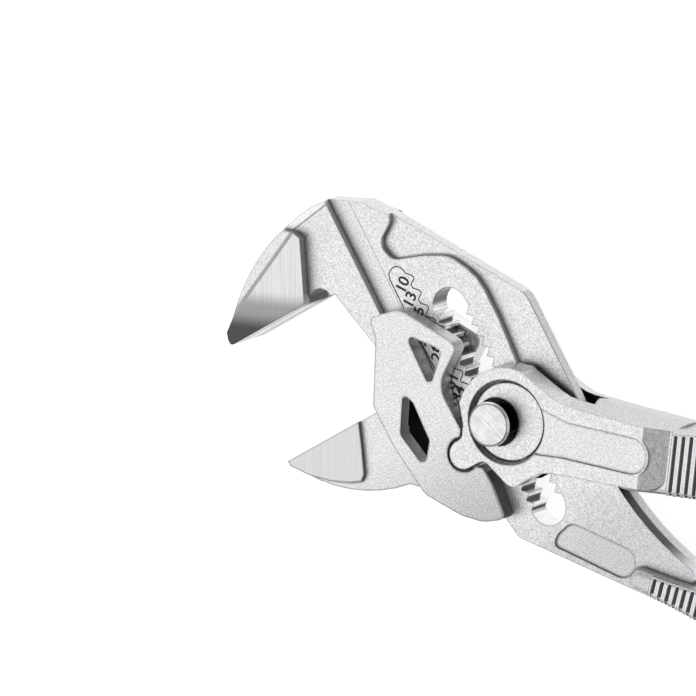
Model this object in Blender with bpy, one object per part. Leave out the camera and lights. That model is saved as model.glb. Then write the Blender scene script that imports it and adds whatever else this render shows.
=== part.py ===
"""Pliers wrench: adjustable parallel-jaw pliers, about 250 mm long.

The tool lies flat. The origin is on the lever's pivot axis, half way through the shank. X runs from the jaw tips
towards the handles along the gripping faces, Y runs along the slot towards the fixed jaw, and Z is the plate's normal.
There are three forgings, the fixed jaw with the shank and lower handle, the sliding jaw and the lever handle, and a
push-button lock: two bushes that turn in the lever's cheeks, and a toothed bolt that slides in them along Z.
"""

import math

import bpy
import bmesh
from mathutils import Vector

MM = 0.001

FILLET = 1 * MM                 # the unit of the corners' roundings

# Clearances
GAP = 0.3 * MM                  # between neighbouring pieces
OVERRUN = 3 * MM                # how far a cutter runs past what it cuts
MESH_GAP = 0.3 * MM             # between meshing teeth, square to the slot

# Facets
FACET = math.radians(15)        # angle of one facet on a rounded corner
CREASE = math.radians(28)       # edges sharper than this stay sharp in the shading
ROUND_FACETS = 40               # facets round a turned piece

# Thicknesses, each the whole thickness of a shape that is centred on the shank
SHANK = 5.2 * MM
WEB = 2.6 * MM                  # relieved border of the head
HEAD = 6.8 * MM                 # satin part of the fixed jaw
LOWER_HEAD = 9.2 * MM           # and of the sliding jaw
JAW_PAD = 11 * MM               # polished flats beside the gripping faces
CHEEKS = 13 * MM                # over the sliding jaw's cheeks
BOSS = 13.4 * MM                # over the lever's fork
LEVER_GRIP = 11 * MM
LOWER_GRIP = 10.4 * MM
GROOVE_FLOOR = 3.4 * MM         # steel between the two guide grooves

# Jaws
REACH = 45.8 * MM               # pivot axis to the jaw tips
RISE = 52 * MM                  # pivot axis to the top of the head
FIXED_FACE = 36.9 * MM          # height of the fixed gripping face
SLIDING_FACE = 13.3 * MM        # height of the sliding gripping face at rest
THROAT = 23 * MM                # pivot axis to the throat between the jaws
JAW_NOSE = 2.5 * MM             # height of the flat end of the fixed jaw
TIP_ROUND = 0.6 * MM
CROWN_DRAFT = 0.7 * MM          # slope inwards from the crown's wall to the polished flat
CROWN_WALL = 4 * MM             # upright part of the crown's wall

TRAVEL_UP = 18.2 * MM           # how far the sliding jaw can rise
RIB_LOW = 4 * MM                # the guide ribs inside its cheeks
RIB_HIGH = 27 * MM

# Shank, slot and guide grooves
SHANK_RIGHT = 12.5 * MM
SHANK_LEFT = 11.3 * MM          # to the left edge at its foot, from where the edge slants
SHANK_FOOT = 15.2 * MM
SHOULDER = 19.4 * MM            # height at which the right side turns in to the head
SLOT_X = -2.2 * MM              # centre line of the slot and of the bolt
SLOT_TOP = 27.3 * MM
SLOT_BOTTOM = -20.2 * MM
TOOTH_TIP = 2.42 * MM           # slot centre line to a tooth's tip
TOOTH = 1.2 * MM                # depth of a tooth
PITCH = 2.12 * MM
SLOT_TEETH = 18
TEETH_ABOVE = 10                # teeth between the bolt at rest and the slot's plain upper end
GROOVE_LEFT = -15.6 * MM
GROOVE_RIGHT = -11.5 * MM
GROOVE_END = -9.5 * MM
LABEL_DEPTH = 0.4 * MM

# Cheeks of the sliding jaw, measured from the pivot axis
CHEEK_FRONT = 23.6 * MM
CHEEK_TOP = 28.9 * MM
CHEEK_FOOT = 15.3 * MM

# Lock, whose axis is parallel to the pivot axis
BOLT_Y = 1 * MM                 # height of the bolt at rest
BOLT_R = 3.7 * MM
BOLT_LOW = -2.5 * MM
BOLT_TEETH_TOP = 0.35 * MM
BOLT_NECK = 1.05 * MM           # how far the neck stands in from the bolt's round ends
BUTTON_LIP = 0.45 * MM          # how far the button stands out beyond the bolt
BUTTON_R = BOLT_R + BUTTON_LIP
BUTTON_WELL_R = BUTTON_R + GAP
BUTTON_H = 1.3 * MM
BUTTON_PROUD = 2.6 * MM         # button top above the boss face
BUTTON_EDGE = 0.35 * MM
PRESS = 3.2 * MM                # travel of the button
WELL_WALL = 0.23 * MM           # thinnest part of the front bush's wall
BUSH_R = math.hypot(SLOT_X, BOLT_Y) + BUTTON_WELL_R + WELL_WALL
BUSH_SUNK = 1.1 * MM            # bush face below the boss face
REAR_SUNK = 0.3 * MM
FLANGE_STEP = 0.7 * MM
FLANGE_R = BUSH_R + FLANGE_STEP
FLANGE = 0.9 * MM
WELL_FLOOR = 1.5 * MM           # steel under the button's well
CAP = 0.7 * MM
POST_R = 1.15 * MM
BOLT_BORE_R = 1.45 * MM
BOLT_BORE_TOP = 5.6 * MM
POST_TOP = -0.6 * MM
SPRING_R = 0.95 * MM            # centre line of the wire
SPRING_WIRE = 0.35 * MM
SPRING_TURNS = 4

# Lever
BOSS_WALL = 2.7 * MM
BOSS_R = BUSH_R + GAP + BOSS_WALL
RIM_CHAMFER = 0.5 * MM
NOSE_X = -11.2 * MM
NOSE_Y = -1.3 * MM
NOSE_R = 2.65 * MM
NOTCH_GAP = 0.65 * MM           # between the nose and its notch
PANEL_DEPTH = 0.4 * MM
LEVER_DRAFT = 1.2 * MM          # how much wider the arm is half way through
LEVER_DRAFT_RUN = 8 * MM        # from no draft at the pivot to the whole draft
SLOPE_START = 5 * MM            # the slope from the arm's face down to the grip, back from the grip's named point
SLOPE_END = 0.1 * MM
PANEL_RIM = 0.4 * MM             # border left standing round the panel's end in the slope

# Handles
HANDLE_LENGTH = 160 * MM
HANDLE_WIDTH = 15 * MM
HANDLE_EDGE = 1.2 * MM          # rounding of a handle's long edges
HANDLE_ROUND_STEPS = 3
LEVER_OUT = 25.7 * MM           # pivot axis to the grip's named point, along X
LEVER_DROP = 20.4 * MM          # and along Y
LEVER_HEADING = math.radians(-30.2)
LEVER_TURN = math.radians(-12)
LEVER_RIBS = math.radians(-37)  # the grip's ribs and slope lie square to this
LEVER_ROOT_HALF = 5.95 * MM     # half width of the grip where it starts
LEVER_BLEND = 44 * MM           # distance to its full width
LEVER_LEAD = 8 * MM             # how far it starts before its named point
LOWER_OUT = 17.3 * MM
LOWER_DROP = 44.9 * MM
LOWER_HEADING = math.radians(-46.2)
LOWER_TURN = math.radians(-8)
LOWER_ROOT_HALF = 2.14 * MM
LOWER_BLEND = 41 * MM
LOWER_LEAD = 11.9 * MM


# Outlines

def rounded(corners):
    """Points of a closed outline. A corner is (x, y) or (x, y, radius)."""
    points = []
    for index, corner in enumerate(corners):
        here = Vector(corner[:2])
        before = Vector(corners[index - 1][:2]) - here
        after = Vector(corners[(index + 1) % len(corners)][:2]) - here
        opening = before.angle(after)
        if len(corner) < 3 or opening > math.pi - FACET / 4:
            points.append(here)
            continue
        reach = min(corner[2] / math.tan(opening / 2), before.length * 0.49, after.length * 0.49)
        radius = reach * math.tan(opening / 2)
        middle = (before.normalized() + after.normalized()).normalized()
        centre = here + middle * radius / math.sin(opening / 2)
        start = here + before.normalized() * reach - centre
        turn = (math.pi - opening) * (-1 if before.cross(after) > 0 else 1)
        steps = max(2, round(abs(turn) / FACET))
        points += [centre + turned(start, turn * step / steps) for step in range(steps + 1)]
    return points


def turned(vector, angle):
    """A plane vector turned by an angle."""
    return Vector((vector.x * math.cos(angle) - vector.y * math.sin(angle),
                   vector.x * math.sin(angle) + vector.y * math.cos(angle)))


def arc(centre, radius, start, end, step=FACET):
    """Points of an arc between two angles in degrees."""
    start, end = math.radians(start), math.radians(end)
    steps = max(2, round(abs(end - start) / step))
    return [(centre[0] + radius * math.cos(start + (end - start) * k / steps),
             centre[1] + radius * math.sin(start + (end - start) * k / steps)) for k in range(steps + 1)]


def bow(start, middle, end, steps=10):
    """Points of the round stretch through three points."""
    a, b, c = Vector(start), Vector(middle), Vector(end)
    ab, ac = b - a, c - a
    scale = 2 * ab.cross(ac)
    centre = a + Vector((ac.y * ab.length_squared - ab.y * ac.length_squared,
                         ab.x * ac.length_squared - ac.x * ab.length_squared)) / scale
    turn = math.atan2((a - centre).cross(c - centre), (a - centre).dot(c - centre))
    if (turn > 0) != (scale > 0):
        turn += math.copysign(math.tau, scale)
    return [centre + turned(a - centre, turn * k / steps) for k in range(steps + 1)]


def spread(shares, across, up, start=(0, 0)):
    """Corners given as shares of a width and a height, counted from start, and of the fillet unit."""
    return [(start[0] + corner[0] * across, start[1] + corner[1] * up, *(r * FILLET for r in corner[2:]))
            for corner in shares]


# Solids

def add_object(name, mesh_data, material=None):
    """An object in the scene for a bmesh, which is freed."""
    bmesh.ops.recalc_face_normals(mesh_data, faces=mesh_data.faces)
    mesh = bpy.data.meshes.new(name)
    mesh_data.to_mesh(mesh)
    mesh_data.free()
    made = bpy.data.objects.new(name, mesh)
    bpy.context.scene.collection.objects.link(made)
    if material:
        mesh.materials.append(material)
    return made


def fill_loft(mesh_data, sections):
    """A closed solid through outlines of equally many points, listed as (outline, height) from the bottom up."""
    rings = [[mesh_data.verts.new((p[0], p[1], height)) for p in outline] for outline, height in sections]
    sides = [mesh_data.faces.new((lower[k - 1], lower[k], upper[k], upper[k - 1]))
             for lower, upper in zip(rings, rings[1:]) for k in range(len(lower))]
    if len(rings) > 2:
        bmesh.ops.triangulate(mesh_data, faces=sides)
    mesh_data.faces.new(rings[0])
    mesh_data.faces.new(rings[-1])


def loft(name, sections):
    mesh_data = bmesh.new()
    fill_loft(mesh_data, sections)
    return add_object(name, mesh_data)


def prism(name, outline, low, high):
    return loft(name, [(outline, low), (outline, high)])


def moved_out(outline, distance):
    """The outline with each point moved out by distance(point), which may be negative."""
    around = sum(Vector(a).cross(Vector(b)) for a, b in zip(outline, outline[1:] + outline[:1]))
    side = 1 if around > 0 else -1
    moved = []
    for k, point in enumerate(outline):
        here = Vector(point)
        along = (Vector(outline[(k + 1) % len(outline)]) - Vector(outline[k - 1])).normalized()
        moved.append(here + Vector((along.y, -along.x)) * side * distance(here))
    return moved


def ramp(value):
    """0 below 0, the value itself up to 1, and 1 above."""
    return min(max(value, 0), 1)


def both_sides(name, outlines, low, high):
    """The same prisms above the shank's middle plane and mirrored below it."""
    mesh_data = bmesh.new()
    for outline in outlines:
        fill_loft(mesh_data, [(outline, low), (outline, high)])
        fill_loft(mesh_data, [(outline, -high), (outline, -low)])
    return add_object(name, mesh_data)


def turned_solid(name, profile, centre=(0, 0)):
    """A solid of revolution about an axis along Z. profile lists (radius, height) from the bottom to the top."""
    mesh_data = bmesh.new()
    rings = []
    for radius, height in profile:
        if radius == 0:
            rings.append([mesh_data.verts.new((centre[0], centre[1], height))])
            continue
        rings.append([mesh_data.verts.new((centre[0] + radius * math.cos(math.tau * k / ROUND_FACETS),
                                           centre[1] + radius * math.sin(math.tau * k / ROUND_FACETS), height))
                      for k in range(ROUND_FACETS)])
    for lower, upper in zip(rings, rings[1:]):
        for k in range(ROUND_FACETS):
            nearby = [lower[k % len(lower)], lower[(k + 1) % len(lower)],
                      upper[(k + 1) % len(upper)], upper[k % len(upper)]]
            corners = list(dict.fromkeys(nearby))
            mesh_data.faces.new(corners)
    for ring in (rings[0], rings[-1]):
        if len(ring) > 1:
            mesh_data.faces.new(ring)
    return add_object(name, mesh_data)


def combine(target, operand, operation):
    """Cuts the operand from the target, or joins it to it, and removes the operand."""
    modifier = target.modifiers.new(operation.lower(), "BOOLEAN")
    modifier.operation = operation
    modifier.object = operand
    modifier.solver = "EXACT"
    bpy.context.view_layer.update()
    evaluated = target.evaluated_get(bpy.context.evaluated_depsgraph_get())
    result = bpy.data.meshes.new_from_object(evaluated)
    target.modifiers.clear()
    old = target.data
    target.data = result
    bpy.data.meshes.remove(old)
    bpy.data.objects.remove(operand)


def cut(target, operand):
    combine(target, operand, "DIFFERENCE")


def join(target, operand):
    combine(target, operand, "UNION")


def finish(made, name, material):
    """Names a finished piece and gives it its material."""
    made.name = name
    made.data.name = name
    made.location.z = BOSS / 2
    made.data.materials.clear()
    made.data.materials.append(material)
    made.data.shade_smooth()
    made.data.set_sharp_from_angle(angle=CREASE)


def metal(name, colour, roughness):
    """A Principled metal."""
    made = bpy.data.materials.new(name)
    made.use_nodes = True
    shader = made.node_tree.nodes["Principled BSDF"]
    shader.inputs["Base Color"].default_value = (*colour, 1)
    shader.inputs["Metallic"].default_value = 1
    shader.inputs["Roughness"].default_value = roughness
    return made


# Handles

def handle_outline(start, heading, turn, root_half, blend, lead):
    """Outline of a grip along a bowed centre line: narrow at the root, then full width, with a round end.

    lead is how far the grip runs back past its start. The half width grows from root_half over the blend length.
    """
    full_half = HANDLE_WIDTH / 2
    stations = 26
    left, right = [], []
    for k in range(stations + 1):
        along = -lead + (HANDLE_LENGTH - full_half + lead) * (k / stations)
        angle = heading + turn * along / HANDLE_LENGTH
        chord = heading + turn * along / HANDLE_LENGTH / 2
        centre = start + Vector((math.cos(chord), math.sin(chord))) * along
        share = ramp((along + lead) / (blend + lead))
        half = root_half + (full_half - root_half) * share * share * (3 - 2 * share)
        side = Vector((-math.sin(angle), math.cos(angle))) * half
        left.append(centre + side)
        right.append(centre - side)
    tip_angle = math.degrees(angle)
    round_end = arc(centre, full_half, tip_angle + 90, tip_angle - 90)[1:-1]
    root = (left[0] + right[0]) / 2
    root_angle = math.degrees(heading)
    round_root = arc(root, root_half, root_angle - 90, root_angle - 270)[1:-1]
    return left + [Vector(p) for p in round_end] + right[::-1] + [Vector(p) for p in round_root]


def handle(name, outline, thickness):
    """A grip whose long edges are rounded."""
    levels = []
    for k in range(HANDLE_ROUND_STEPS + 1):
        angle = math.pi / 2 * (1 - k / HANDLE_ROUND_STEPS)
        inset = HANDLE_EDGE * (1 - math.cos(angle))
        levels.append((inset, thickness / 2 - HANDLE_EDGE * (1 - math.sin(angle))))
    rings = [(moved_out(outline, lambda point: -inset), height) for inset, height in levels]
    return loft(name, [(ring, -height) for ring, height in rings] + rings[::-1])


# Fixed jaw

# Places in the head are counted from the throat: shares of the jaw's length and of the head's height
crown_shares = ((-0.982, 0.166), (-0.439, 0.788), (0.18, 1.02))
notch_shares = ((-0.01, -0.058), (-0.105, 0.107), (-0.221, 0))
fixed_pad_shares = ((-0.154, 1.1), (-0.154, 0.967), (-0.013, 0.821), (0.018, 0.728), (-0.215, 0))
# Shares of the shank's right side and of the head's height above the gripping face
head_back_shares = ((-1.227, 0.993), (-0.974, 0.868), (-0.722, 0.755), (-0.575, 0.596, 1.6), (-0.425, 0.483))
relief_top_shares = ((-0.476, 0.656), (-0.403, 0.536), (-0.447, 0.377, 2.1), (-0.798, 0.212, 2.6), (-0.696, -0.04, 2.1))
shoulder_round_share = 4.7
# Shares of the shank's right side and of the height of the gripping face
relief_low_shares = ((-0.22, 0.93), (0.183, 0.865, 5), (0.462, 0.705, 9), (0.466, 0.48), (0.41, 0.24), (0.733, -0.14),
                     (1.1, -0.42))
# Shares of the throat and of the height of the gripping face
throat_shares = ((-0.847, 0.653), (-0.924, 0.851), (-0.97, 0.976))
# Shares of the shank's right side and of the lower grip's drop
waist_shares = ((1, -0.401), (1.147, -0.631), (1.513, -0.875))
foot_shares = ((1.473, -0.915), (0.916, -0.961), (-0.85, -0.424, 1.6))
label_shares = ((-0.396, -0.52, 1), (-0.248, -0.488, 2.5), (0.044, -0.472, 2.2), (0.834, -0.714, 2.8),
                (0.483, -0.8, 2.8))


def throat_edge(y):
    """The straight slanted left edge of the shank, as x at a height y."""
    top_share = throat_shares[0]
    slant = (top_share[0] * THROAT + SHANK_LEFT) / (top_share[1] * FIXED_FACE + SHANK_FOOT)
    return -SHANK_LEFT + slant * (y + SHANK_FOOT)


def in_head(shares):
    """Corners counted from the throat's end of the fixed gripping face."""
    return spread(shares, REACH - THROAT, RISE - FIXED_FACE, (-THROAT, FIXED_FACE))


def above_shank(shares):
    """Corners over the shank, with heights counted from the fixed gripping face."""
    return spread(shares, SHANK_RIGHT, RISE - FIXED_FACE, (0, FIXED_FACE))


def fixed_silhouette():
    """Outline of the head, shank and handle root."""
    corners = [(-REACH, FIXED_FACE, TIP_ROUND), (-REACH, FIXED_FACE + JAW_NOSE / 2)]
    corners += bow(*in_head(crown_shares))
    corners += above_shank(head_back_shares)
    corners += [(SHANK_RIGHT, SHOULDER, shoulder_round_share * FILLET)]
    corners += bow(*spread(waist_shares, SHANK_RIGHT, LOWER_DROP), steps=6)
    corners += spread(foot_shares, SHANK_RIGHT, LOWER_DROP)
    corners += [(-SHANK_LEFT, -SHANK_FOOT)]
    corners += bow(*spread(throat_shares, THROAT, FIXED_FACE), steps=6)
    corners += bow(*in_head(notch_shares), steps=5)
    return rounded(corners)


def fixed_pad_cutter():
    """What comes off the head to the right of its polished flats."""
    edge = in_head(fixed_pad_shares)
    return [*edge, (edge[-1][0], -RISE * 2), (REACH, -RISE * 2), (REACH, edge[0][1])]


def relief_outline():
    """The thin border: all outside a line from the top of the head down the shank's right side."""
    top = above_shank(relief_top_shares)
    low = spread(relief_low_shares, SHANK_RIGHT, FIXED_FACE)
    return rounded([(top[0][0], RISE + OVERRUN), *top, *low, (REACH, low[-1][1]), (REACH, RISE + OVERRUN)])


def slot_outline():
    """The slot: round ends, and pointed teeth down both sides, one more on the left."""
    half = TOOTH_TIP + TOOTH
    first_valley = BOLT_Y + TEETH_ABOVE * PITCH
    top_centre = SLOT_TOP - half
    upper_valley = math.degrees(math.asin((first_valley + PITCH - top_centre) / half))
    top = arc((SLOT_X, top_centre), half, 180 - upper_valley, 0)
    bottom = arc((SLOT_X, SLOT_BOTTOM + half), half, 0, -180)
    right, left = [], [(SLOT_X - TOOTH_TIP, first_valley + PITCH / 2)]
    for k in range(SLOT_TEETH):
        valley = first_valley - k * PITCH
        right += [(SLOT_X + half, valley), (SLOT_X + TOOTH_TIP, valley - PITCH / 2)]
        left += [(SLOT_X - half, valley), (SLOT_X - TOOTH_TIP, valley - PITCH / 2)]
    last = first_valley - SLOT_TEETH * PITCH
    right.append((SLOT_X + half, last))
    left.append((SLOT_X - half, last))
    return top + right + bottom + left[::-1]


def make_fixed_jaw(material):
    """Upper jaw, shank and lower handle, forged in one."""
    wall = fixed_silhouette()
    flat = moved_out(wall, lambda point: -CROWN_DRAFT * ramp((point.y - FIXED_FACE) / JAW_NOSE - 1))
    jaw = loft("fixed_jaw", [(flat, -JAW_PAD / 2), (wall, -CROWN_WALL / 2), (wall, CROWN_WALL / 2),
                             (flat, JAW_PAD / 2)])
    cut(jaw, both_sides("beside_pads", [fixed_pad_cutter()], HEAD / 2, JAW_PAD))
    shank_zone = [(GROOVE_LEFT, -REACH * 2), (REACH, -REACH * 2), (REACH, RISE + OVERRUN),
                  (GROOVE_LEFT, RISE + OVERRUN)]
    cut(jaw, both_sides("shank_faces", [shank_zone], SHANK / 2, JAW_PAD))
    groove = [(GROOVE_LEFT, GROOVE_END), (GROOVE_RIGHT, GROOVE_END), (GROOVE_RIGHT, RISE + OVERRUN),
              (GROOVE_LEFT, RISE + OVERRUN)]
    cut(jaw, both_sides("guide_grooves", [groove], GROOVE_FLOOR / 2, HEAD))
    cut(jaw, both_sides("border_relief", [relief_outline()], WEB / 2, HEAD))
    cut(jaw, prism("slot", slot_outline(), -JAW_PAD, JAW_PAD))
    label = rounded(spread(label_shares, SHANK_RIGHT, LOWER_DROP))
    cut(jaw, both_sides("label_recess", [label], SHANK / 2 - LABEL_DEPTH, HEAD))
    start = Vector((LOWER_OUT, -LOWER_DROP))
    grip = handle_outline(start, LOWER_HEADING, LOWER_TURN, LOWER_ROOT_HALF, LOWER_BLEND, LOWER_LEAD)
    join(jaw, handle("lower_grip", grip, LOWER_GRIP))
    finish(jaw, "fixed_jaw", material)


# Sliding jaw

# Shares of the cheek's front, and of its top above the pivot axis or of its foot below it
cheek_top_shares = ((-0.691, 1, 1.3), (-0.411, 0.948, 4.2), (-0.091, 0.571, 1.6), (-0.408, 0.41, 4.7))
cheek_foot_shares = ((-0.369, -0.34, 1), (-0.363, -0.542, 5.2), (-0.398, -1, 1), (-0.582, -0.902, 5.2),
                     (-0.729, -0.706, 5.2), (-0.936, -0.281, 3.1))
cheek_front_shares = ((-1, 0.208, 15.6), (-1.004, 0.498, 1.6), (-0.714, 0.865, 1.6))
root_shares = ((-0.903, -0.275), (-0.76, -0.542), (-0.703, -0.667))
window_shares = (((-0.466, 0.799, 0.8), (-0.233, 0.594, 1), (-0.479, 0.422, 0.8)),
                 ((-0.716, 0.478, 1), (-0.67, 0.398, 1), (-0.686, 0.135, 1), (-0.835, -0.007, 1), (-0.898, 0.26, 1)))
under_cheek_shares = ((-0.775, -0.36), (-0.911, -0.18), (-0.962, -0.036), (-0.987, 0.125), (-1.004, 0.36),
                      (-1.004, 0.72))
lobe_shares = (0.7, 1.59)
lobe_round_share = 0.6
# Counted from the throat: shares of the jaw's length and of the height of the sliding face
underside_shares = ((-1, 0.932), (-0.64, 0.278), (-0.092, -0.09))
sliding_pad_shares = ((-0.25, 0.985), (-0.333, 0.647), (-0.421, 0.323), (-0.469, 0.263), (-0.566, 0.323),
                      (-0.724, 0.474), (-0.877, 0.684), (-1, 0.925))
NOTCH_ANGLES = (72, 292)        # degrees round the nose


def below_throat(shares):
    """Corners of the sliding jaw, counted along X from the throat."""
    return spread(shares, REACH - THROAT, SLIDING_FACE, (-THROAT, 0))


def cheek_outline():
    """Outline of a cheek, with the round notch for the lever's nose."""
    notch = arc((NOSE_X, NOSE_Y), NOSE_R + NOTCH_GAP, *NOTCH_ANGLES)
    lobe = [(NOSE_X + lobe_shares[0] * NOSE_R, NOSE_Y + lobe_shares[1] * NOSE_R, lobe_round_share * FILLET)]
    top = spread(cheek_top_shares, CHEEK_FRONT, CHEEK_TOP)
    foot = spread(cheek_foot_shares, CHEEK_FRONT, CHEEK_FOOT)
    front = spread(cheek_front_shares, CHEEK_FRONT, CHEEK_TOP)
    return rounded(top + lobe + notch + foot + front)


def make_sliding_jaw(material):
    """Lower jaw with two cheeks that straddle the shank."""
    wall_top = throat_shares[1][0] * THROAT - 1.5 * GAP
    root = spread(root_shares, CHEEK_FRONT, CHEEK_FOOT)
    wall_low = throat_edge(root[-1][1] + TRAVEL_UP) - 1.5 * GAP
    body = [(-REACH, SLIDING_FACE), *bow(*below_throat(underside_shares), steps=8), *root,
            (wall_low, root[-1][1]), (wall_top, SLIDING_FACE)]
    jaw = prism("sliding_jaw", body, -JAW_PAD / 2, JAW_PAD / 2)
    pad = below_throat(sliding_pad_shares)
    satin = [(pad[0][0], SLIDING_FACE + OVERRUN), *pad, (-REACH - OVERRUN, pad[-1][1]),
             (-REACH - OVERRUN, -CHEEK_TOP), *spread(under_cheek_shares, CHEEK_FRONT, CHEEK_TOP)]
    cut(jaw, both_sides("beside_pads", [satin], LOWER_HEAD / 2, JAW_PAD))
    cheeks = both_sides("cheeks", [cheek_outline()], SHANK / 2 + GAP, CHEEKS / 2)
    over_head = [(-2 * CHEEK_FRONT, -CHEEK_TOP), (GROOVE_LEFT + GAP, -CHEEK_TOP),
                 (GROOVE_LEFT + GAP, 2 * CHEEK_TOP), (-2 * CHEEK_FRONT, 2 * CHEEK_TOP)]
    cut(cheeks, both_sides("over_head", [over_head], 0, HEAD / 2 + GAP))
    join(jaw, cheeks)
    rib = [(GROOVE_LEFT + GAP, RIB_LOW), (GROOVE_RIGHT - GAP, RIB_LOW), (GROOVE_RIGHT - GAP, RIB_HIGH),
           (GROOVE_LEFT + GAP, RIB_HIGH)]
    join(jaw, both_sides("ribs", [rib], GROOVE_FLOOR / 2 + GAP, HEAD / 2 + 2 * GAP))
    for shares in window_shares:
        window = rounded(spread(shares, CHEEK_FRONT, CHEEK_TOP))
        cut(jaw, prism("window", window, -JAW_PAD, JAW_PAD))
    finish(jaw, "sliding_jaw", material)


# Lever handle

NOSE_ANGLES = (262, 80)         # degrees round the nose
BOSS_ANGLES = (133, 40)         # and round the boss
# Shares of the boss's radius
neck_shares = ((-0.961, 0.149, 1.6), (-0.816, 0.345, 1.6))
shoulder_shares = ((0.771, 0.592, 2.6), (1.165, -0.18, 10))
heel_shares = ((0.204, -1.076, 6.2), (-0.521, -1.102, 2.1), (-0.753, -0.396, 1.6))
# Shares of the place of the grip's named point
arm_top_shares = ((0.754, -0.399), (1.141, -0.782))
arm_low_shares = ((0.871, -1.224, 10), (0.593, -0.979))
fork_web_shares = ((0.66, 0.757), (0.62, -0.2), (0.93, -1.313), (1.006, -2.019))
panel_shares = ((0.278, 0, 1), (0.376, -0.16, 3.1), (0.445, -0.265, 3.1), (0.965, -0.754, 3.3), (0.804, -1.02, 3.3),
                (0.271, -0.513, 5.2), (0.054, -0.346, 1.6))


def lever_outline():
    """Outline of the lever's fork: nose, boss, and the arm as far as the grip."""
    nose = arc((NOSE_X, NOSE_Y), NOSE_R, *NOSE_ANGLES)
    boss = arc((0, 0), BOSS_R, *BOSS_ANGLES)
    corners = nose + spread(neck_shares, BOSS_R, BOSS_R) + boss + spread(shoulder_shares, BOSS_R, BOSS_R)
    corners += spread(arm_top_shares + arm_low_shares, LEVER_OUT, LEVER_DROP)
    return rounded(corners + spread(heel_shares, BOSS_R, BOSS_R))


def arm_end(back):
    """A wide outline over everything past a line across the arm, that lies back from the grip's named point."""
    along = Vector((math.cos(LEVER_RIBS), math.sin(LEVER_RIBS)))
    across = Vector((-along.y, along.x)) * HANDLE_WIDTH * 2
    edge = Vector((LEVER_OUT, -LEVER_DROP)) - along * back
    far = edge + along * HANDLE_LENGTH / 2
    return [edge + across, far + across, far - across, edge - across]


def make_lever(material):
    """Forked lever with the nose and the upper handle."""
    face = lever_outline()
    middle = moved_out(face, lambda point: LEVER_DRAFT * ramp(point.x / LEVER_DRAFT_RUN))
    lever = loft("lever_handle", [(face, -BOSS / 2), (middle, 0), (face, BOSS / 2)])
    panel = rounded(spread(panel_shares, LEVER_OUT, LEVER_DROP))
    rim = moved_out(panel, lambda point: PANEL_RIM)
    for side in (-1, 1):
        slope = [(arm_end(SLOPE_END), side * LEVER_GRIP / 2), (arm_end(SLOPE_START), side * BOSS / 2),
                 (arm_end(2 * SLOPE_START - SLOPE_END), side * (BOSS - LEVER_GRIP / 2))]
        slope_cutter = loft("slope", slope[::side])
        cut(slope_cutter, prism("panel_rim", rim, -BOSS, BOSS))
        cut(lever, slope_cutter)
    start = Vector((LEVER_OUT, -LEVER_DROP))
    grip = handle_outline(start, LEVER_HEADING, LEVER_TURN, LEVER_ROOT_HALF, LEVER_BLEND, LEVER_LEAD)
    join(lever, handle("lever_grip", grip, LEVER_GRIP))
    gap_edge = spread(fork_web_shares, LEVER_OUT, LEVER_DROP)
    fork_gap = [*gap_edge, (-2 * BOSS_R, gap_edge[-1][1]), (-2 * BOSS_R, gap_edge[0][1])]
    cut(lever, prism("fork_gap", fork_gap, -SHANK / 2 - GAP, SHANK / 2 + GAP))
    bore = BUSH_R + GAP
    cut(lever, turned_solid("bores", [(bore, -BOSS), (bore, BOSS)]))
    seat = FLANGE_R + GAP
    height = SHANK / 2 + GAP + FLANGE + GAP
    cut(lever, turned_solid("flange_seats", [(seat, -height), (seat, height)]))
    chamfer = 2 * RIM_CHAMFER
    cut(lever, turned_solid("rim_chamfer", [(bore, BOSS / 2 - chamfer), (bore + chamfer, BOSS / 2 + chamfer)]))
    cut(lever, both_sides("panel_recess", [panel], BOSS / 2 - PANEL_DEPTH, BOSS))
    finish(lever, "lever_handle", material)


# Lock

def strip(half_x, half_y):
    """A rectangle round the bolt's axis."""
    return [(SLOT_X - half_x, BOLT_Y - half_y), (SLOT_X + half_x, BOLT_Y - half_y),
            (SLOT_X + half_x, BOLT_Y + half_y), (SLOT_X - half_x, BOLT_Y + half_y)]


def make_bush(name, side, face, material):
    """A flanged bush in one of the lever's cheeks. side is 1 at the front and -1 at the rear."""
    inner = SHANK / 2 + GAP
    profile = [(FLANGE_R, inner), (FLANGE_R, inner + FLANGE), (BUSH_R, inner + FLANGE), (BUSH_R, face)]
    bush = turned_solid(name, [(radius, side * height) for radius, height in profile])
    axis = (SLOT_X, BOLT_Y)
    if side > 0:
        cut(bush, turned_solid("well", [(BUTTON_WELL_R, inner + WELL_FLOOR), (BUTTON_WELL_R, BOSS)], axis))
        cut(bush, prism("neck_hole", strip(NECK_HALF + GAP, BOLT_R - BOLT_NECK + GAP), 0, BOSS))
    else:
        cut(bush, turned_solid("bolt_bore", [(BOLT_R + GAP, -BOSS), (BOLT_R + GAP, 0)], axis))
    finish(bush, name, material)


NECK_HALF = TOOTH_TIP - GAP


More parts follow.
